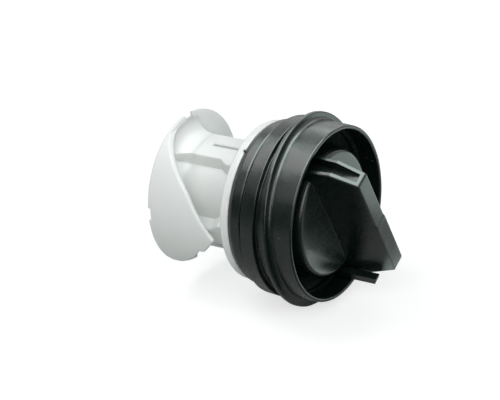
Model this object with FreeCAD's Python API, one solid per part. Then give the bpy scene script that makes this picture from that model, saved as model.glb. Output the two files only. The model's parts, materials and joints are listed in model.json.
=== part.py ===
import FreeCAD, Part
import math
import os

# Drain-pump filter: a twist grip, a rubber cuff stretched over its skirt, a filter insert snapped on behind.
# Millimetres. The filter's axis lies along Y, the handle points to -Y and the rear disc to +Y, +Z is up.
# Depths are counted rearwards from the plane of the front rim, turns about +Y, from +Z towards +X.
# The origin is on the axis, in the middle of the cuff's sealing land.

# Cuff, outside
rim_radius = 31.0
rim_wall = 1.4
rim_edge_round = 0.6
rim_flare = 0.3
rim_length = 9.2
ring_radius = 34.0
ring_width = 2.9
ring_edge_round = 0.5
ring_foot_round = 1.2
square_groove_width = 1.9
square_groove_radius = 30.2
square_groove_round = 0.3
land_radius = 32.1
land_length = 5.5
land_edge_round = 0.35
narrow_groove_width = 0.7
narrow_groove_radius = 30.5
bead_radius = 31.3
bead_length = 6.6
bead_front_round = 1.0
bead_back_round = 4.0
bead_fall = 3.4
bead_tail_radius = 28.2
cuff_corner_round = 0.3

# Grip: floor, boss and skirt
recess_depth = 8.8
floor_thickness = 2.5
floor_overhang = 3.2
floor_corner_round = 0.8
lip_reach = 1.0
lip_height = 1.2
boss_radius = 22.9
boss_draft = 0.5
boss_depth = 1.3
boss_crown = 0.7
boss_edge_round = 2.4
shell_wall = 2.2
skirt_radius = 27.0
skirt_wall = 2.0
skirt_end_round = 0.4

# Grip: handle
handle_turn = 152.3
handle_reach = 17.6
handle_front_length = 45.2
handle_base_length = 53.0
handle_straight_reach = 7.0
handle_front_thickness = 6.3
handle_draft = 0.058
handle_wall = 1.6
handle_front_wall = 2.2
handle_edge_round = 0.6
handle_end_round = 1.2
thumb_step_height = 0.7
thumb_step_place = 1.0
thumb_step_round = 0.5

# Grip: index finger beside the handle's lower end
finger_side = 6.2
finger_thickness = 2.6
finger_inner = 24.2
finger_reach = 11.6
finger_slant = 1.6
finger_corner_round = 0.4

# Grip: hub with snap prongs
hub_radius = 9.0
hub_wall = 2.0
prong_count = 3
prong_slit_width = 3.0
prong_slit_length = 14.0
hook_height = 1.1
hook_length = 3.0
hook_edge_round = 0.2

# Filter insert
flange_radius = 28.4
flange_thickness = 3.4
flange_edge_round = 0.8
insert_length = 33.9
disc_radius = 27.8
disc_thickness = 1.2
disc_edge_round = 0.3
core_radius = 16.0
core_wall = 2.0
core_flare = 4.0
core_flare_length = 5.0
core_foot_round = 1.0
core_mouth_round = 0.5
arm_count = 3
arm_turn = 352.0
arm_radius = 20.0
arm_half_width = 7.2
arm_flare = 2.4
arm_flare_length = 4.0
arm_spread = 4.0
arm_spread_length = 5.0
arm_foot_width = 1.8
arm_foot_length = 7.4
arm_foot_ramp = 3.2
arm_foot_round = 1.5
arm_edge_round = 0.5
slit_turn = -4.0
slit_width = 1.2
slit_length = 17.0
notch_count = 4
notch_width = 4.6
notch_depth = 2.0

# Filter insert: guide blade, a pointed piece of a tube standing on the rear disc
blade_turn = 262.0
blade_wall = 1.5
blade_tip_side = -2.2
blade_tip_gap = 4.3
blade_tip_round = 0.5
blade_upper_bend = 13.0
blade_upper_bend_height = 14.8
blade_upper_bend_round = 20.0
blade_upper_foot = 26.4
blade_step_side = -8.0
blade_step_height = 19.2
blade_step_drop = 1.8
blade_step_round = 0.4
blade_lower_bend = -11.8
blade_lower_bend_height = 14.2
blade_lower_bend_round = 0.8
blade_lower_foot = -22.5

# Clearances between the pieces
hub_clearance = 0.2
hook_clearance = 0.2
finger_clearance = 0.3

# Derived places
ring_front = rim_length
ring_back = ring_front + ring_width
land_front = ring_back + square_groove_width
land_back = land_front + land_length
bead_front = land_back + narrow_groove_width
bead_back = bead_front + bead_length
floor_back = recess_depth + floor_thickness
floor_radius = skirt_radius + floor_overhang
rim_inside = rim_radius - rim_wall
lip_radius = rim_inside - lip_reach
land_middle = (land_front + land_back) / 2
flange_front = bead_back
flange_back = flange_front + flange_thickness
insert_back = flange_front + insert_length
disc_front = insert_back - disc_thickness
boss_floor_radius = boss_radius + boss_draft
hook_front = flange_back + hook_clearance

AXIS_POINT = FreeCAD.Vector(0, 0, 0)
AXIS = FreeCAD.Vector(0, 1, 0)
FULL_TURN = 360.0
HALF_TURN = FULL_TURN / 2
QUARTER_TURN = FULL_TURN / 4


def along(depth):
    """Y of a depth behind the rim plane."""
    return depth - land_middle


def rounded_face(corners):
    """Face in the YZ plane from (height, depth, round) corners, each corner rounded by its own radius."""
    points = [FreeCAD.Vector(0, along(depth), height) for height, depth, _ in corners]
    edges = []
    starts = []
    ends = []
    for index, (_, _, radius) in enumerate(corners):
        point = points[index]
        if radius == 0:
            starts.append(point)
            ends.append(point)
            edges.append(None)
            continue
        back = (points[index - 1] - point).normalize()
        ahead = (points[(index + 1) % len(points)] - point).normalize()
        half = back.getAngle(ahead) / 2
        middle = (back + ahead).normalize()
        centre = point + middle * (radius / math.sin(half))
        start = point + back * (radius / math.tan(half))
        end = point + ahead * (radius / math.tan(half))
        starts.append(start)
        ends.append(end)
        edges.append(Part.Arc(start, centre - middle * radius, end).toShape())
    outline = []
    for index in range(len(points)):
        if edges[index] is not None:
            outline.append(edges[index])
        following = starts[(index + 1) % len(points)]
        if ends[index].distanceToPoint(following) > 1e-6:
            outline.append(Part.makeLine(ends[index], following))
    return Part.Face(Part.Wire(outline))


def turned(corners, sweep=FULL_TURN):
    """Solid swept by the corners' face about the axis, half of the sweep on each side of +Z."""
    solid = rounded_face(corners).revolve(AXIS_POINT, AXIS, sweep)
    if sweep < FULL_TURN:
        solid.rotate(AXIS_POINT, AXIS, -sweep / 2)
    return solid


def turned_by(shape, angle):
    """Copy of the shape turned about the axis."""
    copy = shape.copy()
    copy.rotate(AXIS_POINT, AXIS, angle)
    return copy


def tube(outer, inner, front, back):
    """Plain tube about the axis between two depths; inner 0 makes it a disc."""
    solid = Part.makeCylinder(outer, back - front, FreeCAD.Vector(0, along(front), 0), AXIS)
    if inner > 0:
        solid = solid.cut(Part.makeCylinder(inner, back - front, FreeCAD.Vector(0, along(front), 0), AXIS))
    return solid


def block(width, low, high, front, back, side=0.0):
    """Box standing on +Z: width across X about the side offset, from low to high, between two depths."""
    corner = FreeCAD.Vector(side - width / 2, along(front), low)
    return Part.makeBox(width, back - front, high - low, corner)


def slab(corners, width):
    """Face of (height, depth, round) corners thickened across X, half to each side."""
    solid = rounded_face(corners).extrude(FreeCAD.Vector(width, 0, 0))
    solid.translate(FreeCAD.Vector(-width / 2, 0, 0))
    return solid


def softened(shape, radius, round_size):
    """Rounds the edges that run lengthwise on the shape's outer face, at or beyond a radius from the axis."""
    edges = []
    for edge in shape.Edges:
        middle = edge.valueAt((edge.FirstParameter + edge.LastParameter) / 2)
        outside = math.hypot(middle.x, middle.z) > radius - round_size / 10
        if outside and edge.BoundBox.YLength > round_size:
            edges.append(edge)
    return shape.makeFillet(round_size, edges)


def prism(corners):
    """Upright prism with an outline seen from +Z, from (side, depth, round) corners."""
    return turned_by(slab(corners, 4 * disc_radius), QUARTER_TURN)


def make_cuff():
    """Rubber cuff: rim wall, front ring, sealing land and rear bead outside, seats for the grip inside."""
    return turned([
        (rim_inside, 0, rim_edge_round),
        (rim_radius, 0, rim_edge_round),
        (rim_radius + rim_flare, ring_front, ring_foot_round),
        (ring_radius, ring_front, ring_edge_round),
        (ring_radius, ring_back, ring_edge_round),
        (square_groove_radius, ring_back, square_groove_round),
        (square_groove_radius, land_front, square_groove_round),
        (land_radius, land_front, land_edge_round),
        (land_radius, land_back, land_edge_round),
        (narrow_groove_radius, land_back, 0),
        (narrow_groove_radius, bead_front, 0),
        (bead_radius, bead_front, bead_front_round),
        (bead_radius, bead_back - bead_fall, bead_back_round),
        (bead_tail_radius, bead_back, cuff_corner_round),
        (skirt_radius, bead_back, 0),
        (skirt_radius, floor_back, 0),
        (floor_radius, floor_back, 0),
        (floor_radius, recess_depth, 0),
        (lip_radius, recess_depth, cuff_corner_round),
        (lip_radius, recess_depth - lip_height, cuff_corner_round),
        (rim_inside, recess_depth - lip_height, cuff_corner_round),
    ])


def make_boss_shell():
    """Floor, rounded boss and skirt as one hollow turned shell."""
    inner = boss_radius - shell_wall
    inner_floor = boss_floor_radius - shell_wall
    skirt_inner = skirt_radius - skirt_wall
    return turned([
        (0, boss_crown, 0),
        (boss_radius, boss_depth, boss_edge_round),
        (boss_floor_radius, recess_depth, floor_corner_round),
        (floor_radius, recess_depth, 0),
        (floor_radius, floor_back, 0),
        (skirt_radius, floor_back, 0),
        (skirt_radius, bead_back, skirt_end_round),
        (skirt_inner, bead_back, skirt_end_round),
        (skirt_inner, floor_back, floor_corner_round),
        (inner_floor, floor_back, floor_corner_round),
        (inner, boss_depth + shell_wall, boss_edge_round / 2),
        (0, boss_crown + shell_wall, 0),
    ])


def handle_section(half_front, front, back):
    """Drafted cross-section of the handle between two depths, extruded over the handle's whole length."""
    half_back = half_front + handle_draft * (back - front)
    low = -handle_base_length
    points = [
        FreeCAD.Vector(-half_front, along(front), low),
        FreeCAD.Vector(half_front, along(front), low),
        FreeCAD.Vector(half_back, along(back), low),
        FreeCAD.Vector(-half_back, along(back), low),
    ]
    face = Part.Face(Part.makePolygon(points + points[:1]))
    return face.extrude(FreeCAD.Vector(0, 0, 2 * handle_base_length))


def make_handle():
    """Hollow twist handle: two drafted walls and a front wall with a thumb step, open at both ends."""
    half_front = handle_front_length / 2
    half_base = handle_base_length / 2
    outline = slab([
        (-half_base, floor_back, 0),
        (-half_base, -handle_straight_reach, handle_end_round),
        (-half_front, thumb_step_height - handle_reach, handle_end_round),
        (thumb_step_place, thumb_step_height - handle_reach, thumb_step_round / 2),
        (thumb_step_place + thumb_step_round, -handle_reach, thumb_step_round / 2),
        (half_front, -handle_reach, handle_end_round),
        (half_base, -handle_straight_reach, handle_end_round),
        (half_base, floor_back, 0),
    ], 2 * handle_base_length)
    outer = handle_section(handle_front_thickness / 2, -handle_reach, floor_back).common(outline)
    front_edges = [edge for edge in outer.Edges if edge.BoundBox.YMax < along(-handle_straight_reach)
                   and abs(edge.CenterOfMass.x) > handle_front_thickness / 4]
    outer = outer.makeFillet(handle_edge_round, front_edges)
    hollow_front = handle_front_wall + thumb_step_height - handle_reach
    hollow_half = handle_front_thickness / 2 - handle_wall + handle_draft * (hollow_front + handle_reach)
    hollow = handle_section(hollow_half, hollow_front, floor_back)
    return turned_by(outer.cut(hollow), handle_turn)


def make_finger():
    """Index finger standing on the floor beside the handle's lower end, its front slanted outwards."""
    outer = math.sqrt(lip_radius ** 2 - (finger_side + finger_thickness / 2) ** 2) - finger_clearance
    finger = slab([
        (finger_inner, floor_back, 0),
        (finger_inner, -finger_reach, finger_corner_round),
        (outer, finger_slant - finger_reach, finger_corner_round),
        (outer, floor_back, 0),
    ], finger_thickness)
    finger.translate(FreeCAD.Vector(finger_side, 0, 0))
    return turned_by(finger, handle_turn)


def make_hub():
    """Tube behind the boss, split into prongs whose hooks catch behind the insert's flange."""
    start = boss_depth + shell_wall / 2
    hook_back = hook_front + hook_length
    hub = turned([
        (hub_radius - hub_wall, start, 0),
        (hub_radius, start, 0),
        (hub_radius, hook_front, 0),
        (hub_radius + hook_height, hook_front, hook_edge_round),
        (hub_radius + hook_height, hook_front + hook_length / 3, hook_edge_round),
        (hub_radius - hub_wall / 2, hook_back, 0),
        (hub_radius - hub_wall, hook_back, 0),
    ])
    for index in range(prong_count):
        slit_front = hook_back - prong_slit_length
        slit = block(prong_slit_width, 0, 2 * hub_radius, slit_front, hook_back + hook_length)
        hub = hub.cut(turned_by(slit, handle_turn + index * FULL_TURN / prong_count))
    return hub


def make_grip():
    """One moulding: boss shell, handle, finger and hub."""
    shell = make_boss_shell()
    handle = make_handle().common(tube(floor_radius, 0, -2 * handle_reach, floor_back))
    return shell.fuse([handle, make_finger(), make_hub()]).removeSplitter()


def make_insert_body():
    """Flange, core and rear disc turned in one, the core still solid and flaring into the disc."""
    return turned([
        (0, flange_front, 0),
        (flange_radius, flange_front, flange_edge_round),
        (flange_radius, flange_back, flange_edge_round),
        (core_radius, flange_back, core_foot_round),
        (core_radius, disc_front - core_flare_length, core_flare_length),
        (core_radius + core_flare, disc_front, core_mouth_round),
        (disc_radius, disc_front, disc_edge_round),
        (disc_radius, insert_back, disc_edge_round),
        (0, insert_back, 0),
    ])


def make_core_hollow():
    """Room inside the core: the hub's hole in the flange, then a bore that opens into the disc's mouth."""
    hole = hub_radius + hub_clearance
    bore = core_radius - core_wall
    mouth = core_radius + core_flare - core_wall
    return turned([
        (0, flange_front, 0),
        (hole, flange_front, 0),
        (hole, flange_back, 0),
        (bore, flange_back, core_mouth_round),
        (bore, disc_front - core_flare_length + core_wall, core_flare_length),
        (mouth, insert_back, 0),
        (0, insert_back, 0),
    ])


def make_arm():
    """Arm about +Z from flange to disc: a curved wall with a wider front foot, a flared rear and a slit."""
    inner = core_radius - core_wall / 2
    front = flange_back - flange_thickness / 2
    foot_half_width = arm_half_width + arm_foot_width
    foot_back = flange_back + arm_foot_length
    ramp_back = foot_back + arm_foot_ramp
    wall = turned([
        (inner, front, 0),
        (arm_radius, front, 0),
        (arm_radius, disc_front - arm_flare_length, arm_flare_length),
        (arm_radius + arm_flare, disc_front, 0),
        (inner, disc_front, 0),
    ], HALF_TURN)
    outline = prism([
        (-foot_half_width, front, 0),
        (-foot_half_width, foot_back, arm_foot_round),
        (-arm_half_width, ramp_back, arm_foot_round),
        (-arm_half_width, disc_front - arm_spread_length, arm_spread_length),
        (-arm_half_width - arm_spread, disc_front, 0),
        (arm_half_width, disc_front, 0),
        (arm_half_width, ramp_back, arm_foot_round),
        (foot_half_width, foot_back, arm_foot_round),
        (foot_half_width, front, 0),
    ])
    slit = block(slit_width, core_radius, 2 * arm_radius, flange_back, flange_back + slit_length)
    arm = softened(wall.common(outline), arm_radius, arm_edge_round)
    return arm.cut(turned_by(slit, slit_turn))


def make_blade():
    """Guide blade: a bowed, pointed outline seen from outside, cut from half a tube on the disc's rim."""
    root = disc_front + disc_thickness / 2
    shell = turned([
        (disc_radius - blade_wall, flange_back, 0),
        (disc_radius, flange_back, 0),
        (disc_radius, root, 0),
        (disc_radius - blade_wall, root, 0),
    ], HALF_TURN)
    outline = prism([
        (blade_lower_foot, root, 0),
        (blade_lower_foot, disc_front, 0),
        (blade_lower_bend, disc_front - blade_lower_bend_height, blade_lower_bend_round),
        (blade_step_side, disc_front - blade_step_height + blade_step_drop, blade_step_round),
        (blade_step_side, disc_front - blade_step_height, blade_step_round),
        (blade_tip_side, flange_back + blade_tip_gap, blade_tip_round),
        (blade_upper_bend, disc_front - blade_upper_bend_height, blade_upper_bend_round),
        (blade_upper_foot, disc_front, 0),
        (blade_upper_foot, root, 0),
    ])
    return turned_by(shell.common(outline), blade_turn)


def make_insert():
    """One white moulding: body, arms and blade, then the hollow core and the notches in the disc's rim."""
    arms = [turned_by(make_arm(), arm_turn + index * FULL_TURN / arm_count) for index in range(arm_count)]
    insert = make_insert_body().fuse(arms + [make_blade()]).cut(make_core_hollow())
    notch_floor = disc_radius - notch_depth
    for index in range(notch_count):
        notch = block(notch_width, notch_floor, 2 * disc_radius, disc_front, insert_back + notch_depth)
        insert = insert.cut(turned_by(notch, index * FULL_TURN / notch_count))
    return insert.removeSplitter()


pieces = {
    "grip": make_grip(),
    "sealing_cuff": make_cuff(),
    "filter_insert": make_insert(),
}
os.makedirs("parts", exist_ok=True)
for name, shape in pieces.items():
    shape.exportStep(os.path.join("parts", name + ".step"))
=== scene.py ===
"""Washer drain-pump filter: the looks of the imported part.

The white insert comes with the frame and is given its finish. The rubber cuff is remade as it sits when stretched, with
a leaning ring, a slim bead and slow waves, and the grip is remade from its solid with a pocket in the handle's upper
end, a soft thumb step and a falling recess. A flash nub and the upper arm's root are added, and the studio and the
camera are set. The filter's axis lies along Y with the handle towards -Y; sizes are in millimetres unless a name says
otherwise, and depths are counted rearwards from the plane of the front rim, as in the part's source.
"""

import json
import logging
import math
from dataclasses import dataclass
from enum import Enum

import bmesh
import bpy
import numpy as np
from mathutils import Matrix, Vector

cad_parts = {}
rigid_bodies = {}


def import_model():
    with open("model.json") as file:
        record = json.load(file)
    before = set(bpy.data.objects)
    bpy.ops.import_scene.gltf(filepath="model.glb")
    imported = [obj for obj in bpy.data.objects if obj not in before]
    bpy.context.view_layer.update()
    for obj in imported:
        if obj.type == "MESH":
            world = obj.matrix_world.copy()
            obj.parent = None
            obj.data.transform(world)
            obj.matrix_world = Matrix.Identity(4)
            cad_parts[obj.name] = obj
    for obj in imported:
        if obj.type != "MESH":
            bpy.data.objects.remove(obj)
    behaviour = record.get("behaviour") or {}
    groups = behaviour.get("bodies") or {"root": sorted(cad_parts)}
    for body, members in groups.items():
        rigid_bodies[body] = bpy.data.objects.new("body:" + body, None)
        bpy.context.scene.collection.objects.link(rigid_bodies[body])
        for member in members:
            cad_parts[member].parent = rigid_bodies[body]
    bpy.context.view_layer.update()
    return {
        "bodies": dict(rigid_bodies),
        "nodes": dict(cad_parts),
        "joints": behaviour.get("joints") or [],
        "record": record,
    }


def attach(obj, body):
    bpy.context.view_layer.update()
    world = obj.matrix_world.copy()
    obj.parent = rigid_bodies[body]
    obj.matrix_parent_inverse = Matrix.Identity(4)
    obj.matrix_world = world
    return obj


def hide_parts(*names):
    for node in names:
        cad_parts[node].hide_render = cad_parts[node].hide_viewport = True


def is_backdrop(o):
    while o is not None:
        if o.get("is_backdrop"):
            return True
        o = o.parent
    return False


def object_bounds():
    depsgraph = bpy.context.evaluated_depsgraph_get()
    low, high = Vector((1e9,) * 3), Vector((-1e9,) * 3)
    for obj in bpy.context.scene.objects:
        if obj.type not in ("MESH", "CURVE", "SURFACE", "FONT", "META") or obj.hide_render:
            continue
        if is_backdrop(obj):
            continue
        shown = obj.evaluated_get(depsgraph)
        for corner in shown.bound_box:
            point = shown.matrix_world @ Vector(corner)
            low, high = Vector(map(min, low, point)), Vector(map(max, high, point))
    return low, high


LOG = logging.getLogger("pump_filter")
MM = 0.001
IMAGE_SIZE = (500, 400)
SENSOR_WIDTH_MM = 36.0
RIM_DEPTH_MM = 16.75
SHARP_DEG = 28.0
ARC_STEPS = 5
GUARD_MM = 0.06
EDGE_SAMPLES = 6
FLOW_HEIGHT_MM = 1.0
GRAIN_HEIGHT_MM = 0.1
SHEEN_SPAN = (0.3, 0.7)
WHITE = (1.0, 1.0, 1.0, 1.0)
CARD_TINT = "#e2f3ed"


class Node(Enum):
    """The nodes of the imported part."""

    GRIP = "grip"
    CUFF = "sealing_cuff"
    INSERT = "filter_insert"


class Slot(Enum):
    """The record's material slots."""

    BLACK_PLASTIC = "black_plastic"
    BLACK_RUBBER = "black_rubber"
    WHITE_PLASTIC = "white_plastic"


def linear(hex_colour: str) -> tuple[float, float, float, float]:
    """Turns an sRGB colour into linear light.

    Args:
        hex_colour: Six hex digits after a hash.

    Returns:
        Red, green, blue and an alpha of 1.
    """
    parts = [int(hex_colour[i:i + 2], 16) / 255 for i in (1, 3, 5)]
    light = [c / 12.92 if c <= 0.04045 else ((c + 0.055) / 1.055) ** 2.4 for c in parts]
    return (light[0], light[1], light[2], 1.0)


def per_metre(size_mm: float) -> float:
    """Texture scale at which one feature of a pattern measures the given millimetres."""
    return 1 / (size_mm * MM)


def add_node(tree: bpy.types.NodeTree, kind: str, sockets: dict | None = None, **settings: object) -> bpy.types.Node:
    """Adds one shader node.

    Args:
        tree: The material's or world's node tree.
        kind: Blender's name of the node type.
        sockets: Input name or number, with a value to set or an output socket to link.
        settings: The node's own properties.

    Returns:
        The new node.
    """
    node = tree.nodes.new(kind)
    for name, value in settings.items():
        setattr(node, name, value)
    for name, value in (sockets or {}).items():
        if isinstance(value, bpy.types.NodeSocket):
            tree.links.new(value, node.inputs[name])
        else:
            node.inputs[name].default_value = value
    return node


def empty_material(name: str) -> bpy.types.Material:
    """Makes a material with an empty node tree.

    Args:
        name: Its name.

    Returns:
        The new material.
    """
    material = bpy.data.materials.new(name)
    material.use_nodes = True
    material.node_tree.nodes.clear()
    return material


@dataclass(frozen=True)
class Noise:
    """A noise pattern: how many finer layers it has, and how much each keeps of the one before."""

    detail: float
    keep: float

    def add(self, tree: bpy.types.NodeTree, place: bpy.types.NodeSocket, size_mm: float) -> bpy.types.NodeSocket:
        """Adds the pattern to a material.

        Args:
            tree: The material's node tree.
            place: Object coordinates.
            size_mm: Size of its largest features.

        Returns:
            The socket with its value from 0 to 1.
        """
        pattern = add_node(tree, "ShaderNodeTexNoise", {
            "Vector": place, "Scale": per_metre(size_mm), "Detail": self.detail, "Roughness": self.keep})
        return pattern.outputs["Fac"]


CLOUDS = Noise(3.0, 0.55)
SHEEN = Noise(4.0, 0.6)
FLOW = Noise(1.5, 0.4)
GRAIN = Noise(2.0, 0.5)


@dataclass(frozen=True)
class MouldedFinish:
    """A moulded plastic or rubber: one colour with faint clouds, an uneven sheen, a grained skin and stray dust.

    The grain stands for the spark-eroded skin of the mould, the flow for the slow waves that cooling leaves, the soft
    edge for the radius that every corner of a mould has, and the specks for dust that clings to the surface.
    """

    name: str
    colour: str
    cloud_colour: str
    cloud_mm: float
    roughness: tuple[float, float]
    sheen_mm: float
    grain_mm: float
    grain_depth: float
    flow_mm: float
    flow_depth: float
    soft_edge_mm: float
    ior: float
    speck_colour: str
    speck_mm: float
    speck_gap_mm: float
    speck_share: float
    subsurface: float = 0.0
    subsurface_mm: float = 1.0

    def material(self) -> bpy.types.Material:
        """Builds the finish as a node material.

        Returns:
            The material, with every pattern on Object coordinates.
        """
        material = empty_material(self.name)
        tree = material.node_tree
        place = add_node(tree, "ShaderNodeTexCoord").outputs["Object"]
        shader = add_node(tree, "ShaderNodeBsdfPrincipled", {
            "Base Color": self.colour_nodes(tree, place), "Roughness": self.sheen_nodes(tree, place),
            "IOR": self.ior, "Normal": self.relief_nodes(tree, place), "Subsurface Weight": self.subsurface,
            "Subsurface Radius": (1.0, 1.0, 1.0), "Subsurface Scale": self.subsurface_mm * MM})
        add_node(tree, "ShaderNodeOutputMaterial", {"Surface": shader.outputs["BSDF"]})
        return material

    def colour_nodes(self, tree: bpy.types.NodeTree, place: bpy.types.NodeSocket) -> bpy.types.NodeSocket:
        """Mixes the colour, its clouds and the dust; a speck is the middle of a chosen few of the cells it scatters in.

        Args:
            tree: The material's node tree.
            place: Object coordinates.

        Returns:
            The colour socket.
        """
        cloud = CLOUDS.add(tree, place, self.cloud_mm)
        body = add_node(tree, "ShaderNodeMix", {
            "Factor": cloud, 6: linear(self.colour), 7: linear(self.cloud_colour)}, data_type="RGBA")
        cells = add_node(tree, "ShaderNodeTexVoronoi", {"Vector": place, "Scale": per_metre(self.speck_gap_mm)})
        size = self.speck_mm / 2 / self.speck_gap_mm
        middle = add_node(tree, "ShaderNodeMapRange", {
            "Value": cells.outputs["Distance"], "From Min": size, "From Max": size / 2})
        chance = add_node(tree, "ShaderNodeSeparateColor", {"Color": cells.outputs["Color"]})
        chosen = add_node(tree, "ShaderNodeMath", {
            0: chance.outputs["Red"], 1: self.speck_share}, operation="LESS_THAN")
        speck = add_node(tree, "ShaderNodeMath", {
            0: middle.outputs["Result"], 1: chosen.outputs[0]}, operation="MULTIPLY")
        colour = add_node(tree, "ShaderNodeMix", {
            "Factor": speck.outputs[0], 6: body.outputs[2], 7: linear(self.speck_colour)}, data_type="RGBA")
        return colour.outputs[2]

    def sheen_nodes(self, tree: bpy.types.NodeTree, place: bpy.types.NodeSocket) -> bpy.types.NodeSocket:
        """Lets the roughness wander between its two values in patches.

        Args:
            tree: The material's node tree.
            place: Object coordinates.

        Returns:
            The roughness socket.
        """
        roughness = add_node(tree, "ShaderNodeMapRange", {
            "Value": SHEEN.add(tree, place, self.sheen_mm), "From Min": SHEEN_SPAN[0], "From Max": SHEEN_SPAN[1],
            "To Min": self.roughness[0], "To Max": self.roughness[1]})
        return roughness.outputs["Result"]

    def relief_nodes(self, tree: bpy.types.NodeTree, place: bpy.types.NodeSocket) -> bpy.types.NodeSocket:
        """Softens the edges, then lays the slow waves and the fine grain over them.

        Args:
            tree: The material's node tree.
            place: Object coordinates.

        Returns:
            The normal socket.
        """
        edge = add_node(tree, "ShaderNodeBevel", {"Radius": self.soft_edge_mm * MM}, samples=EDGE_SAMPLES)
        wave = add_node(tree, "ShaderNodeBump", {
            "Height": FLOW.add(tree, place, self.flow_mm), "Strength": self.flow_depth,
            "Distance": FLOW_HEIGHT_MM * MM, "Normal": edge.outputs["Normal"]})
        skin = add_node(tree, "ShaderNodeBump", {
            "Height": GRAIN.add(tree, place, self.grain_mm), "Strength": self.grain_depth,
            "Distance": GRAIN_HEIGHT_MM * MM, "Normal": wave.outputs["Normal"]})
        return skin.outputs["Normal"]


# Polypropylene, moulded in a spark-eroded tool: near black with a green cast, satin, a soft even highlight.
GRIP_PLASTIC = MouldedFinish(
    name="polypropylene_black_moulded", colour="#06100d", cloud_colour="#0a1713", cloud_mm=9.0,
    roughness=(0.2, 0.3), sheen_mm=5.0, grain_mm=0.8, grain_depth=0.2, flow_mm=12.0, flow_depth=0.04,
    soft_edge_mm=0.25, ior=1.52, speck_colour="#59605d", speck_mm=0.35, speck_gap_mm=4.0, speck_share=0.06)

# EPDM rubber, compression moulded: near black, a waxy bloom with broad uneven highlights, holds dust.
CUFF_RUBBER = MouldedFinish(
    name="epdm_rubber_moulded", colour="#06100d", cloud_colour="#0b1814", cloud_mm=11.0,
    roughness=(0.22, 0.34), sheen_mm=6.0, grain_mm=0.9, grain_depth=0.25, flow_mm=8.0, flow_depth=0.16,
    soft_edge_mm=0.15, ior=1.5, speck_colour="#6d7471", speck_mm=0.4, speck_gap_mm=3.5, speck_share=0.2)

# Natural polypropylene, injection moulded: milky white, faintly translucent, satin.
INSERT_PLASTIC = MouldedFinish(
    name="polypropylene_natural_white_moulded", colour="#eef0ee", cloud_colour="#e7eae9", cloud_mm=14.0,
    roughness=(0.36, 0.5), sheen_mm=8.0, grain_mm=1.0, grain_depth=0.12, flow_mm=10.0, flow_depth=0.06,
    soft_edge_mm=0.5, ior=1.49, speck_colour="#c9ccc9", speck_mm=0.4, speck_gap_mm=5.0, speck_share=0.12,
    subsurface=0.5, subsurface_mm=2.5)


def rounded_outline(corners: np.ndarray, arc_steps: int, run_steps: int, guard: float) -> np.ndarray:
    """Rounds a closed outline.

    Each corner is cut back by its radius over the tangent of half its angle, and bridged by an arc about the point on
    its bisector that lies the radius over the sine of half its angle away. A guard point stands close before and after
    each arc to keep the flats flat in shading, and each flat is divided evenly between its guards.

    Args:
        corners: One row of x, y and radius for each corner, in order.
        arc_steps: Points on each arc.
        run_steps: Points on each flat between its guards.
        guard: Distance of a guard point from its arc.

    Returns:
        One row of x and y for each point of the rounded outline.
    """
    point, radius = corners[:, :2], corners[:, 2:]
    before, after = np.roll(point, 1, axis=0) - point, np.roll(point, -1, axis=0) - point
    before /= np.linalg.norm(before, axis=1, keepdims=True)
    after /= np.linalg.norm(after, axis=1, keepdims=True)
    half = np.arccos(np.clip((before * after).sum(axis=1, keepdims=True), -1, 1)) / 2
    cut = radius / np.tan(half)
    bisector = (before + after) / np.linalg.norm(before + after, axis=1, keepdims=True)
    centre = point + bisector * radius / np.sin(half)
    start, end = point + before * cut - centre, point + after * cut - centre
    sweep = math.pi - 2 * half
    share = np.linspace(0, 1, arc_steps)[None, :, None]
    blend = (np.sin((1 - share) * sweep[:, None]) * start[:, None] + np.sin(share * sweep[:, None]) * end[:, None])
    arcs = centre[:, None] + blend / np.sin(sweep)[:, None]
    lead = (point + before * (cut + guard))[:, None]
    tail = (point + after * (cut + guard))[:, None]
    run = np.linspace(0, 1, run_steps + 2)[None, 1:-1, None]
    flats = tail + (np.roll(lead, -1, axis=0) - tail) * run
    return np.concatenate([lead, arcs, tail, flats], axis=1).reshape(-1, 2)


def ring_faces(rows: int, columns: int) -> np.ndarray:
    """Quads of a grid that closes into a ring both along its rows and round its columns.

    Args:
        rows: Points along the grid.
        columns: Points round the grid.

    Returns:
        One row of four point numbers for each quad.
    """
    row, column = np.meshgrid(np.arange(rows), np.arange(columns), indexing="ij")
    next_row, next_column = (row + 1) % rows, (column + 1) % columns
    quads = [row * columns + column, row * columns + next_column,
             next_row * columns + next_column, next_row * columns + column]
    return np.stack(quads, axis=-1).reshape(-1, 4)


def capped_faces(count: int, columns: int) -> list[list[int]]:
    """Faces of a closed outline that is carried over several columns and capped at both ends.

    Args:
        count: Points of the outline.
        columns: How often it is repeated.

    Returns:
        The point numbers of each face.
    """
    column, step = np.meshgrid(np.arange(columns - 1), np.arange(count), indexing="ij")
    here, following = column * count + step, column * count + (step + 1) % count
    quads = np.stack([here, following, following + count, here + count], axis=-1).reshape(-1, 4)
    cap = list(range(count))
    return quads.tolist() + [cap[::-1], [point + (columns - 1) * count for point in cap]]


def solid_mesh(name: str, points_mm: np.ndarray, faces: list[list[int]]) -> bpy.types.Mesh:
    """Makes a smooth mesh whose faces point outwards.

    Args:
        name: Its name.
        points_mm: One row of x, y and z for each point.
        faces: The point numbers of each face.

    Returns:
        The new mesh.
    """
    mesh = bpy.data.meshes.new(name)
    mesh.from_pydata((points_mm * MM).tolist(), [], faces)
    shell = bmesh.new()
    shell.from_mesh(mesh)
    bmesh.ops.recalc_face_normals(shell, faces=shell.faces)
    shell.to_mesh(mesh)
    shell.free()
    mesh.polygons.foreach_set("use_smooth", np.ones(len(faces), dtype=bool))
    mesh.set_sharp_from_angle(angle=math.radians(SHARP_DEG))
    return mesh


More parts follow.
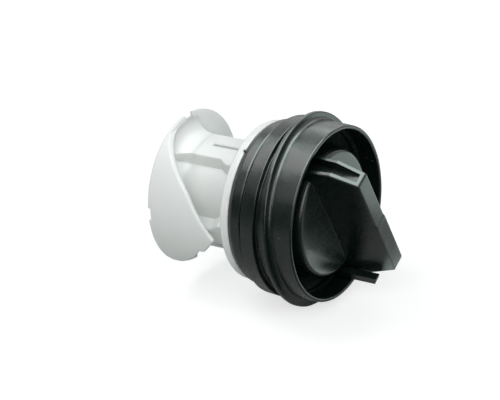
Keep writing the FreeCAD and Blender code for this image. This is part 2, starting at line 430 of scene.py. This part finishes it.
def make_piece(name: str, points_mm: np.ndarray, faces: list[list[int]], finish: MouldedFinish
               ) -> bpy.types.Object:
    """Puts a surface into a smooth mesh that rides with the part.

    Args:
        name: The piece's name.
        points_mm: One row of x, y and z for each point.
        faces: The point numbers of each face.
        finish: Its finish.

    Returns:
        The new piece.
    """
    mesh = solid_mesh(name, points_mm, faces)
    mesh.materials.append(finish.material())
    piece = bpy.data.objects.new(name, mesh)
    bpy.context.scene.collection.objects.link(piece)
    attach(piece, "root")
    LOG.info("%s has %d faces in %s", name, len(faces), finish.name)
    return piece


@dataclass(frozen=True)
class RubberCuff:
    """The rubber cuff as it sits stretched over a skirt: its ring leans, its bead is slim, and slow waves run round it.

    A wave is how often it runs round the cuff, how far it turns for each millimetre of depth, and where it starts.
    """

    rim_inside: float = 29.6
    rim_radius: float = 31.0
    rim_flare: float = 0.3
    rim_round: float = 0.6
    ring_front: float = 9.2
    ring_back: float = 10.9
    ring_radius: float = 34.0
    ring_round: float = 0.5
    ring_back_round: float = 0.5
    ring_foot_round: float = 1.2
    groove_radius: float = 30.2
    groove_round: float = 0.3
    land_front: float = 14.4
    land_back: float = 19.7
    land_front_radius: float = 32.0
    land_back_radius: float = 31.7
    land_round: float = 0.35
    slot_radius: float = 28.7
    bead_front: float = 21.1
    bead_fall_start: float = 25.0
    bead_back: float = 26.8
    bead_radius: float = 29.4
    bead_front_round: float = 1.0
    bead_back_round: float = 1.8
    tail_radius: float = 28.4
    skirt_radius: float = 27.0
    seat_front: float = 8.8
    seat_back: float = 11.3
    seat_radius: float = 30.2
    lip_radius: float = 28.6
    wave_foot: float = 27.6
    lip_front: float = 7.6
    corner_round: float = 0.3
    sharp_round: float = 0.08
    wave_height: float = 0.06
    waves: tuple[tuple[int, float, float], ...] = ((7, 0.35, 1.1), (13, -0.5, 2.3), (19, 0.9, 0.4))
    lean_start: float = 2.0
    lean_up: float = 2.0
    lean_right: float = 1.3
    lean_foot: float = 0.05
    lean_fade: float = 0.8
    run_steps: int = 4
    turn_steps: int = 360

    def corners(self) -> np.ndarray:
        """The outline of half a cut through the cuff.

        Returns:
            One row of radius, depth and rounding for each corner.
        """
        return np.array([
            (self.rim_inside, 0.0, self.rim_round),
            (self.rim_radius, 0.0, self.rim_round),
            (self.rim_radius + self.rim_flare, self.ring_front, self.ring_foot_round),
            (self.ring_radius, self.ring_front, self.ring_round),
            (self.ring_radius, self.ring_back, self.ring_back_round),
            (self.groove_radius, self.ring_back, self.groove_round),
            (self.groove_radius, self.land_front, self.groove_round),
            (self.land_front_radius, self.land_front, self.land_round),
            (self.land_back_radius, self.land_back, self.land_round),
            (self.slot_radius, self.land_back, self.sharp_round),
            (self.slot_radius, self.bead_front, self.sharp_round),
            (self.bead_radius, self.bead_front, self.bead_front_round),
            (self.bead_radius, self.bead_fall_start, self.bead_back_round),
            (self.tail_radius, self.bead_back, self.corner_round),
            (self.skirt_radius, self.bead_back, self.sharp_round),
            (self.skirt_radius, self.seat_back, self.sharp_round),
            (self.seat_radius, self.seat_back, self.sharp_round),
            (self.seat_radius, self.seat_front, self.sharp_round),
            (self.lip_radius, self.seat_front, self.corner_round),
            (self.lip_radius, self.lip_front, self.corner_round),
            (self.rim_inside, self.lip_front, self.corner_round),
        ])

    def surface(self) -> tuple[np.ndarray, np.ndarray]:
        """Turns the outline about the Y axis and stretches it by slow waves.

        Each point's radius grows by the wave height times the mean of the waves' cosines. The waves fade out between
        the slot's radius and the skirt, so what sits on the skirt stays round. The ring leans: its depth grows by one
        lean times the cosine of the turn and another times its sine, and this fades out along the rim, across the
        groove and towards the seats.

        Returns:
            The points in millimetres, and the faces.
        """
        outline = rounded_outline(self.corners(), ARC_STEPS, self.run_steps, GUARD_MM)
        turn = np.linspace(0, 2 * math.pi, self.turn_steps, endpoint=False)
        radius, depth = outline[:, :1], outline[:, 1:]
        waves = sum(np.cos(times * turn + skew * depth + start) for times, skew, start in self.waves) / len(self.waves)
        fade = np.clip((radius - self.wave_foot) / (self.slot_radius - self.wave_foot), 0, 1)
        reach = radius + self.wave_height * waves * fade
        share = np.interp(depth, [self.lean_start, self.ring_front, self.ring_back, self.land_front], [0, 1, 1, 0])
        share = share * np.clip((radius - self.seat_radius - self.lean_foot) / self.lean_fade, 0, 1)
        lean = self.lean_up * np.cos(turn) + self.lean_right * np.sin(turn)
        points = np.stack([reach * np.sin(turn), depth + share * lean - RIM_DEPTH_MM, reach * np.cos(turn)],
                          axis=-1).reshape(-1, 3)
        return points, ring_faces(len(outline), self.turn_steps)

    def build(self) -> None:
        """Makes the cuff in place of its plain solid."""
        points, faces = self.surface()
        cuff = make_piece("stretched_cuff", points, faces.tolist(), CUFF_RUBBER)
        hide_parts(Node.CUFF.value)


@dataclass(frozen=True)
class FlashNub:
    """The stub of flash on the cuff's rear edge: a small rounded peg that leans backwards out of the bead."""

    turn_deg: float = 329.5
    root_radius: float = 28.1
    root_depth: float = 26.2
    lean_deg: float = 48.0
    length: float = 1.35
    half_width: float = 0.55
    bluntness: int = 4
    tip_share: float = 0.9999
    rows: int = 14
    columns: int = 24

    def build(self) -> None:
        """Turns a blunt outline about the peg's own axis.

        Along the peg, from 0 at the root to 1 at the tip, its half width is the root's times the fourth root of one
        less the fourth power of the way, so it keeps its width and ends in a dome.
        """
        way = np.sin(np.linspace(0, math.pi / 2, self.rows))[:, None]
        width = self.half_width * (1 - np.minimum(way, self.tip_share) ** self.bluntness) ** (1 / self.bluntness)
        round_turn = np.linspace(0, 2 * math.pi, self.columns, endpoint=False)[None, :]
        turn, lean = math.radians(self.turn_deg), math.radians(self.lean_deg)
        out = np.array([math.sin(turn), 0.0, math.cos(turn)])
        rear = np.array([0.0, 1.0, 0.0])
        along = out * math.cos(lean) + rear * math.sin(lean)
        side = np.cross(out, rear)
        third = np.cross(along, side)
        root = out * self.root_radius + rear * (self.root_depth - RIM_DEPTH_MM)
        points = (root + (way * self.length)[..., None] * along + (width * np.cos(round_turn))[..., None] * side
                  + (width * np.sin(round_turn))[..., None] * third).reshape(-1, 3)
        faces = capped_faces(self.columns, self.rows)
        make_piece("flash_nub", points, faces, CUFF_RUBBER)


@dataclass(frozen=True)
class GripMoulding:
    """The black grip: a pocket in the handle's upper end, a soft thumb step and a recess that falls towards the boss.

    Depth runs rearwards from the rim's plane, and height runs along the handle from the axis to its upper end.
    """

    turn_deg: float = 152.3
    pocket_front: float = -15.3
    pocket_rear: float = 3.0
    floor_front_height: float = 22.5
    floor_rear_height: float = 23.0
    pocket_top: float = 30.0
    pocket_half_width: float = 1.69
    pocket_round: float = 0.3
    web_thickness: float = 1.6
    web_bite: float = 0.25
    draft: float = 0.058
    plain_depth: float = -16.9
    step_height: float = -1.25
    step_half_zone: float = 0.7
    step_zone_depth: float = 1.0
    step_shift: float = 2.3
    step_stretch: float = 2.6
    step_share: float = 0.6
    recess_depth: float = 8.8
    recess_outside: float = 28.5
    recess_fall: float = 1.9
    recess_play: float = 0.02
    merge_digits: int = 4
    run_steps: int = 6

    def axes(self) -> tuple[np.ndarray, np.ndarray]:
        """The directions of the handle's upper end and of its near side."""
        turn = math.radians(self.turn_deg)
        return (-np.array([math.sin(turn), 0.0, math.cos(turn)]), np.array([math.cos(turn), 0.0, -math.sin(turn)]))

    def across(self, corners: list[tuple[float, float, float]], half_width: float
               ) -> tuple[np.ndarray, list[list[int]]]:
        """Carries an outline from one side of the handle to the other.

        The half width grows by the draft times the way rearwards from the pocket's front, as the hollow's does.

        Args:
            corners: Depth, height and rounding of each corner.
            half_width: Half the width at the pocket's front.

        Returns:
            The points in millimetres, and the faces.
        """
        up, side = self.axes()
        outline = rounded_outline(np.array(corners), ARC_STEPS, self.run_steps, GUARD_MM)
        depth, height = outline[:, :1], outline[:, 1:]
        middle = height * up + (depth - RIM_DEPTH_MM) * np.array([0.0, 1.0, 0.0])
        reach = (half_width + self.draft * (depth - self.pocket_front)) * side
        return np.concatenate([middle + reach, middle - reach]), capped_faces(len(outline), 2)

    def moulded_points(self, points: np.ndarray) -> np.ndarray:
        """Moves, stretches and lowers the thumb step, and lets the recess fall away towards the boss.

        A point of the step moves to the new middle plus the stretch times its way from the old one. The part of the
        front that stands proud of the plain depth keeps a share of its height. The points of the recess's floor inside
        its outer edge go deeper by the fall.

        Args:
            points: The solid's points in millimetres.

        Returns:
            The moved points.
        """
        up, _ = self.axes()
        depth, height = points[:, 1] + RIM_DEPTH_MM, points @ up
        way = height - self.step_height
        on_step = (depth < self.plain_depth + self.step_zone_depth) & (np.abs(way) < self.step_half_zone)
        rise = np.where(on_step, self.step_shift + (self.step_stretch - 1) * way, 0.0)
        proud = np.minimum(depth - self.plain_depth, 0.0)
        moved = points + rise[:, None] * up
        moved[:, 1] -= proud * (1 - self.step_share)
        on_floor = np.abs(depth - self.recess_depth) < self.recess_play
        in_recess = on_floor & (np.hypot(*points[:, ::2].T) < self.recess_outside)
        moved[:, 1] += self.recess_fall * in_recess
        return moved

    def merged_solid(self, node: bpy.types.Object) -> tuple[np.ndarray, list[list[int]]]:
        """Reads the node's loose triangles as one shell, with points at the same place merged.

        Args:
            node: The grip's object in the frame.

        Returns:
            The points in millimetres, and the faces.
        """
        mesh = node.data
        places = np.empty(len(mesh.vertices) * 3, dtype=np.float32)
        mesh.vertices.foreach_get("co", places)
        corners = np.empty(len(mesh.loops), dtype=np.int32)
        mesh.loops.foreach_get("vertex_index", corners)
        rounded = np.round(places.reshape(-1, 3).astype(float) / MM, self.merge_digits)
        points, number = np.unique(rounded, axis=0, return_inverse=True)
        faces = number.reshape(-1)[corners].reshape(-1, 3)
        whole = (faces != np.roll(faces, 1, axis=1)).all(axis=1)
        return points, faces[whole].tolist()

    def build(self, frame: dict) -> None:
        """Makes the grip in place of its plain solid, and the web that closes the pocket.
        """
        points, faces = self.merged_solid(frame["nodes"][Node.GRIP.value])
        grip = make_piece("moulded_grip", self.moulded_points(points), faces, GRIP_PLASTIC)
        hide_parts(Node.GRIP.value)
        floor = [(self.pocket_front, self.floor_front_height), (self.pocket_rear, self.floor_rear_height)]
        points, faces = self.across([
            (*floor[0], self.pocket_round), (*floor[1], self.pocket_round),
            (self.pocket_rear, self.pocket_top, self.pocket_round),
            (self.pocket_front, self.pocket_top, self.pocket_round)], self.pocket_half_width)
        cut_away(grip, solid_mesh("pocket", points, faces))
        points, faces = self.across([
            (floor[0][0] - self.web_bite, floor[0][1], self.pocket_round / 2), (*floor[1], self.pocket_round),
            (floor[1][0], floor[1][1] - self.web_thickness, self.pocket_round),
            (floor[0][0] - self.web_bite, floor[0][1] - self.web_thickness, self.pocket_round / 2)],
            self.pocket_half_width + self.web_bite)
        make_piece("pocket_floor", points, faces, GRIP_PLASTIC)


def cut_away(piece: bpy.types.Object, cutter_mesh: bpy.types.Mesh) -> None:
    """Cuts one closed mesh out of a piece and keeps its flats flat in shading.

    Args:
        piece: The piece to cut.
        cutter_mesh: What is cut away.
    """
    cutter = bpy.data.objects.new(cutter_mesh.name, cutter_mesh)
    bpy.context.scene.collection.objects.link(cutter)
    cut = piece.modifiers.new("cut", "BOOLEAN")
    cut.operation, cut.solver, cut.object = "DIFFERENCE", "EXACT", cutter
    result = bpy.data.meshes.new_from_object(piece.evaluated_get(bpy.context.evaluated_depsgraph_get()))
    piece.modifiers.clear()
    piece.data = result
    bpy.data.objects.remove(cutter)
    result.polygons.foreach_set("use_smooth", np.ones(len(result.polygons), dtype=bool))
    result.set_sharp_from_angle(angle=math.radians(SHARP_DEG))
    flats = piece.modifiers.new("flats", "WEIGHTED_NORMAL")
    flats.keep_sharp = True
    LOG.info("%s is cut to %d faces", piece.name, len(result.polygons))


@dataclass(frozen=True)
class ArmRoot:
    """The hollow curve by which the upper arm runs out into the rear disc."""

    turn_deg: float = 352.0
    front_depth: float = 51.5
    disc_depth: float = 59.6
    inside_radius: float = 18.6
    arm_radius: float = 19.97
    top_radius: float = 26.6
    far_deg: float = 20.0
    near_deg: float = 21.0
    near_spread_deg: float = 14.0
    arc_steps: int = 16
    turn_steps: int = 28

    def build(self) -> None:
        """Turns a quarter of an ellipse about the Y axis, over a sector that spreads towards the disc on its near side.

        The radius is the top less the rise times the cosine of the way, and the depth is the front plus the run times
        its sine, for a way from nothing at the arm to a right angle at the disc. The sector's near edge spreads with
        the square of the sine.
        """
        way = np.linspace(0, math.pi / 2, self.arc_steps)
        radius = self.top_radius - (self.top_radius - self.arm_radius) * np.cos(way)
        depth = self.front_depth + (self.disc_depth - self.front_depth) * np.sin(way)
        spread = np.sin(way) ** 2
        outline_radius = np.concatenate([radius, [self.inside_radius, self.inside_radius]])
        outline_depth = np.concatenate([depth, [self.disc_depth, self.front_depth]])
        near = self.turn_deg - self.near_deg - self.near_spread_deg * np.concatenate([spread, [1.0, 0.0]])
        share = np.linspace(0, 1, self.turn_steps)[:, None]
        turn = np.radians(near + (self.turn_deg + self.far_deg - near) * share)
        points = np.stack([outline_radius * np.sin(turn), np.broadcast_to(outline_depth - RIM_DEPTH_MM, turn.shape),
                           outline_radius * np.cos(turn)], axis=-1).reshape(-1, 3)
        make_piece("arm_root", points, capped_faces(len(outline_radius), self.turn_steps), INSERT_PLASTIC)


@dataclass(frozen=True)
class PhotoCamera:
    """The camera of the photograph, found by fitting its circles.

    The picture's up is turned about the filter's axis against the part's up, because the filter lay rolled a little.
    """

    azimuth_deg: float = -57.08
    elevation_deg: float = 18.34
    axis_roll_deg: float = 7.0
    distance_mm: float = 700.0
    pixels_per_mm: float = 2.903
    rim_pixel: tuple[float, float] = (337.9, 214.04)
    clip_end_m: float = 20.0

    def place(self) -> bpy.types.Object:
        """Makes the camera so that the rim's centre falls on its pixel of the photograph.

        Returns:
            The camera object, which is also the scene's camera.
        """
        azimuth, elevation = math.radians(self.azimuth_deg), math.radians(self.elevation_deg)
        back = Vector((math.sin(azimuth) * math.cos(elevation), -math.cos(azimuth) * math.cos(elevation),
                       math.sin(elevation)))
        right = Vector((math.cos(azimuth), math.sin(azimuth), 0.0))
        roll = Matrix.Rotation(math.radians(self.axis_roll_deg), 3, "Y")
        back, right = roll @ back, roll @ right
        up = back.cross(right)
        aside = (self.rim_pixel[0] - IMAGE_SIZE[0] / 2) / self.pixels_per_mm
        below = (self.rim_pixel[1] - IMAGE_SIZE[1] / 2) / self.pixels_per_mm
        eye = Vector((0.0, -RIM_DEPTH_MM, 0.0)) + back * self.distance_mm - right * aside + up * below
        data = bpy.data.cameras.new("photo_camera")
        data.sensor_width = SENSOR_WIDTH_MM
        data.lens = self.pixels_per_mm * self.distance_mm / IMAGE_SIZE[0] * SENSOR_WIDTH_MM
        data.clip_end = self.clip_end_m
        camera = bpy.data.objects.new("photo_camera", data)
        camera.matrix_world = Matrix.Translation(eye * MM) @ Matrix((right, up, back)).transposed().to_4x4()
        bpy.context.scene.collection.objects.link(camera)
        bpy.context.scene.camera = camera
        return camera


@dataclass(frozen=True)
class SoftBox:
    """One soft lamp: a panel that looks at the part, as bright all over as its brightness says."""

    name: str
    place_mm: tuple[float, float, float]
    size_mm: tuple[float, float]
    brightness: float
    colour: str = "#ffffff"

    def hang(self) -> bpy.types.Object:
        """Makes the lamp and turns it to the origin; its power is pi times its brightness times its area.

        Returns:
            The lamp object.
        """
        data = bpy.data.lights.new(self.name, "AREA")
        data.shape = "RECTANGLE"
        data.size, data.size_y = self.size_mm[0] * MM, self.size_mm[1] * MM
        data.energy = math.pi * self.brightness * data.size * data.size_y
        data.color = linear(self.colour)[:3]
        lamp = bpy.data.objects.new(self.name, data)
        lamp.location = Vector(self.place_mm) * MM
        lamp.rotation_euler = (-lamp.location).to_track_quat("-Z", "Y").to_euler()
        bpy.context.scene.collection.objects.link(lamp)
        return lamp


@dataclass(frozen=True)
class Card:
    """A level card that shows only in reflections, to give black faces a pale or a dark side."""

    name: str
    x_mm: tuple[float, float]
    y_mm: tuple[float, float]
    brightness: float
    height_mm: float = 0.5

    def lay(self, floor_mm: float) -> None:
        """Lays the card at its height over the floor.

        Args:
            floor_mm: Height of the floor.
        """
        x, y, height = np.array(self.x_mm), np.array(self.y_mm), floor_mm + self.height_mm
        points = np.stack([x[[0, 1, 1, 0]], y[[0, 0, 1, 1]], np.full(4, height)], axis=-1)
        show_in_mirrors(self.name, points, np.array([[0, 1, 2, 3]]), self.brightness)


@dataclass(frozen=True)
class RecessShadeFlag:
    """A black flag in the recess's mouth, seen only in reflections: painted shade that keeps them out of the recess."""

    name: str = "recess_shade_flag"
    radii_mm: tuple[float, float] = (23.4, 29.4)
    depth_mm: float = 1.0
    turn_steps: int = 96

    def hang(self) -> None:
        """Hangs the flag: its two edges are the radii times the sine and cosine of the turn."""
        turn = np.linspace(0, 2 * math.pi, self.turn_steps, endpoint=False)
        ring = np.stack([np.sin(turn), np.zeros_like(turn), np.cos(turn)], axis=-1)
        points = np.concatenate([ring * radius for radius in self.radii_mm]) + (0, self.depth_mm - RIM_DEPTH_MM, 0)
        first = np.arange(len(turn))
        second = np.roll(first, -1)
        faces = np.stack([first, second, second + len(turn), first + len(turn)], axis=-1)
        # painted shade: brightness 0 makes every reflection that leaves the recess through its mouth black
        show_in_mirrors(self.name, points, faces, 0.0)


@dataclass(frozen=True)
class Curtain:
    """A grey curtain that stands to the left of the part as a piece of a cylinder and shows only in reflections."""

    name: str = "curtain"
    radius_mm: float = 1100.0
    height_mm: float = 560.0
    turns_deg: tuple[float, float] = (-165.0, -20.0)
    turn_steps: int = 48
    brightness: float = 0.16

    def hang(self, floor_mm: float) -> None:
        """Hangs the curtain: its foot and head are the radius times the sine and cosine of the turn.

        Args:
            floor_mm: Height of the floor.
        """
        turn = np.radians(np.linspace(*self.turns_deg, self.turn_steps))
        ring = np.stack([np.sin(turn), np.cos(turn), np.zeros_like(turn)], axis=-1) * self.radius_mm
        points = np.concatenate([ring + (0, 0, floor_mm), ring + (0, 0, floor_mm + self.height_mm)])
        first = np.arange(len(turn) - 1)
        faces = np.stack([first, first + 1, first + 1 + len(turn), first + len(turn)], axis=-1)
        show_in_mirrors(self.name, points, faces, self.brightness)


def show_in_mirrors(name: str, points_mm: np.ndarray, faces: np.ndarray, brightness: float) -> None:
    """Makes a piece of the stage that shows only in reflections.

    Args:
        name: Its name.
        points_mm: One row of x, y and z for each point.
        faces: One row of point numbers for each face.
        brightness: How bright it looks, where white paper is 1.
    """
    mesh = bpy.data.meshes.new(name)
    mesh.from_pydata((points_mm * MM).tolist(), [], faces.tolist())
    material = empty_material(name + "_cloth")
    tree = material.node_tree
    cloth = add_node(tree, "ShaderNodeEmission", {"Color": linear(CARD_TINT), "Strength": brightness})
    add_node(tree, "ShaderNodeOutputMaterial", {"Surface": cloth.outputs[0]})
    mesh.materials.append(material)
    card = bpy.data.objects.new(name, mesh)
    bpy.context.scene.collection.objects.link(card)
    card.visible_camera = card.visible_diffuse = card.visible_shadow = card.visible_transmission = False
    card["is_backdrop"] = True


@dataclass(frozen=True)
class Studio:
    """A white table under soft boxes, with a curtain and cards that the black faces mirror."""

    floor_half_mm: float = 4000.0
    floor_colour: str = "#bcc0be"
    floor_glow: float = 0.66
    floor_mirror_glow: float = 0.1
    world_strength: float = 0.26
    curtain: Curtain = Curtain()
    flag: RecessShadeFlag = RecessShadeFlag()
    cards: tuple[Card, ...] = (
        Card("pale_card", (72.0, 500.0), (-420.0, -30.0), 2.0),
        Card("boss_card", (2.0, 55.0), (-50.0, -25.0), 2.2),
        Card("dark_card", (-500.0, -20.0), (-520.0, -22.0), 0.1),
        Card("overhead_card", (-400.0, 450.0), (-400.0, 180.0), 11.0, 700.0),
        Card("rear_card", (60.0, 300.0), (300.0, 560.0), 5.0, 700.0),
    )
    lamps: tuple[SoftBox, ...] = (
        SoftBox("rear_box", (-85.0, 317.0, 618.0), (340.0, 360.0), 3.5),
        SoftBox("left_box", (-480.0, -155.0, 486.0), (420.0, 420.0), 2.3),
        SoftBox("right_box", (546.0, 147.0, 413.0), (420.0, 300.0), 2.2, "#e9f6f1"),
        SoftBox("front_box", (-330.0, -600.0, 300.0), (520.0, 500.0), 2.9),
    )

    def build(self) -> None:
        """Makes the floor, the cards, the world and the lamps."""
        floor_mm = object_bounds()[0][2] / MM
        self.lay_floor(floor_mm)
        self.light_world()
        self.curtain.hang(floor_mm)
        self.flag.hang()
        for card in self.cards:
            card.lay(floor_mm)
        for lamp in self.lamps:
            lamp.hang()
            LOG.info("lamp %s", lamp.name)

    def seen_rays(self, tree: bpy.types.NodeTree, mirror_share: float) -> bpy.types.NodeSocket:
        """One for a ray from the camera or a refraction, a share for a reflection, zero for a ray that gathers light.

        Args:
            tree: The node tree to add to.
            mirror_share: The number for a reflection.

        Returns:
            The socket with that number.
        """
        path = add_node(tree, "ShaderNodeLightPath")
        mirrored = add_node(tree, "ShaderNodeMath", {
            0: path.outputs["Is Glossy Ray"], 1: mirror_share}, operation="MULTIPLY")
        seen = add_node(tree, "ShaderNodeMath", {
            0: path.outputs["Is Camera Ray"], 1: path.outputs["Is Transmission Ray"]}, operation="MAXIMUM")
        shown = add_node(tree, "ShaderNodeMath", {0: seen.outputs[0], 1: mirrored.outputs[0]}, operation="MAXIMUM")
        return shown.outputs[0]

    def lay_floor(self, floor_mm: float) -> None:
        """Lays a pale floor under the part; the camera sees it near white, and the part's shadow on it.

        Args:
            floor_mm: Height of the floor.
        """
        half, low = self.floor_half_mm * MM, floor_mm * MM
        corners = [(-half, -half, low), (half, -half, low), (half, half, low), (-half, half, low)]
        mesh = bpy.data.meshes.new("floor")
        mesh.from_pydata(corners, [], [(0, 1, 2, 3)])
        floor = bpy.data.objects.new("floor", mesh)
        bpy.context.scene.collection.objects.link(floor)
        material = empty_material("floor_white_paper")
        tree = material.node_tree
        glow = add_node(tree, "ShaderNodeMath", {
            0: self.seen_rays(tree, self.floor_mirror_glow / self.floor_glow), 1: self.floor_glow},
            operation="MULTIPLY")
        paper = add_node(tree, "ShaderNodeBsdfDiffuse", {"Color": linear(self.floor_colour)})
        light = add_node(tree, "ShaderNodeEmission", {"Color": WHITE, "Strength": glow.outputs[0]})
        both = add_node(tree, "ShaderNodeAddShader", {0: paper.outputs[0], 1: light.outputs[0]})
        add_node(tree, "ShaderNodeOutputMaterial", {"Surface": both.outputs[0]})
        mesh.materials.append(material)
        floor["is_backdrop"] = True

    def light_world(self) -> None:
        """Lights the part evenly from the world, which shows as plain white."""
        world = bpy.data.worlds.new("studio")
        bpy.context.scene.world = world
        world.use_nodes = True
        tree = world.node_tree
        tree.nodes.clear()
        strength = add_node(tree, "ShaderNodeMapRange", {
            "Value": self.seen_rays(tree, 1.0), "To Min": self.world_strength, "To Max": 1.0})
        sky = add_node(tree, "ShaderNodeBackground", {"Color": WHITE, "Strength": strength.outputs["Result"]})
        add_node(tree, "ShaderNodeOutputWorld", {"Surface": sky.outputs["Background"]})


def dress(frame: dict, node: Node, finish: MouldedFinish) -> None:
    """Gives a node of the frame its finish.

    Args:
        node: Which node.
        finish: Its finish.
    """
    mesh = frame["nodes"][node.value].data
    mesh.materials.clear()
    mesh.materials.append(finish.material())
    LOG.info("%s is %s", node.value, finish.name)


def main() -> None:
    """Builds the dressed part, the studio and the camera."""
    logging.basicConfig(level=logging.INFO, format="%(name)s: %(message)s")
    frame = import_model()
    bpy.context.scene.view_settings.view_transform = "Standard"
    PhotoCamera().place()
    Studio().build()
    dress(frame, Node.INSERT, INSERT_PLASTIC)
    RubberCuff().build()
    FlashNub().build()
    GripMoulding().build(frame)
    ArmRoot().build()


if __name__ == "__main__":
    main()
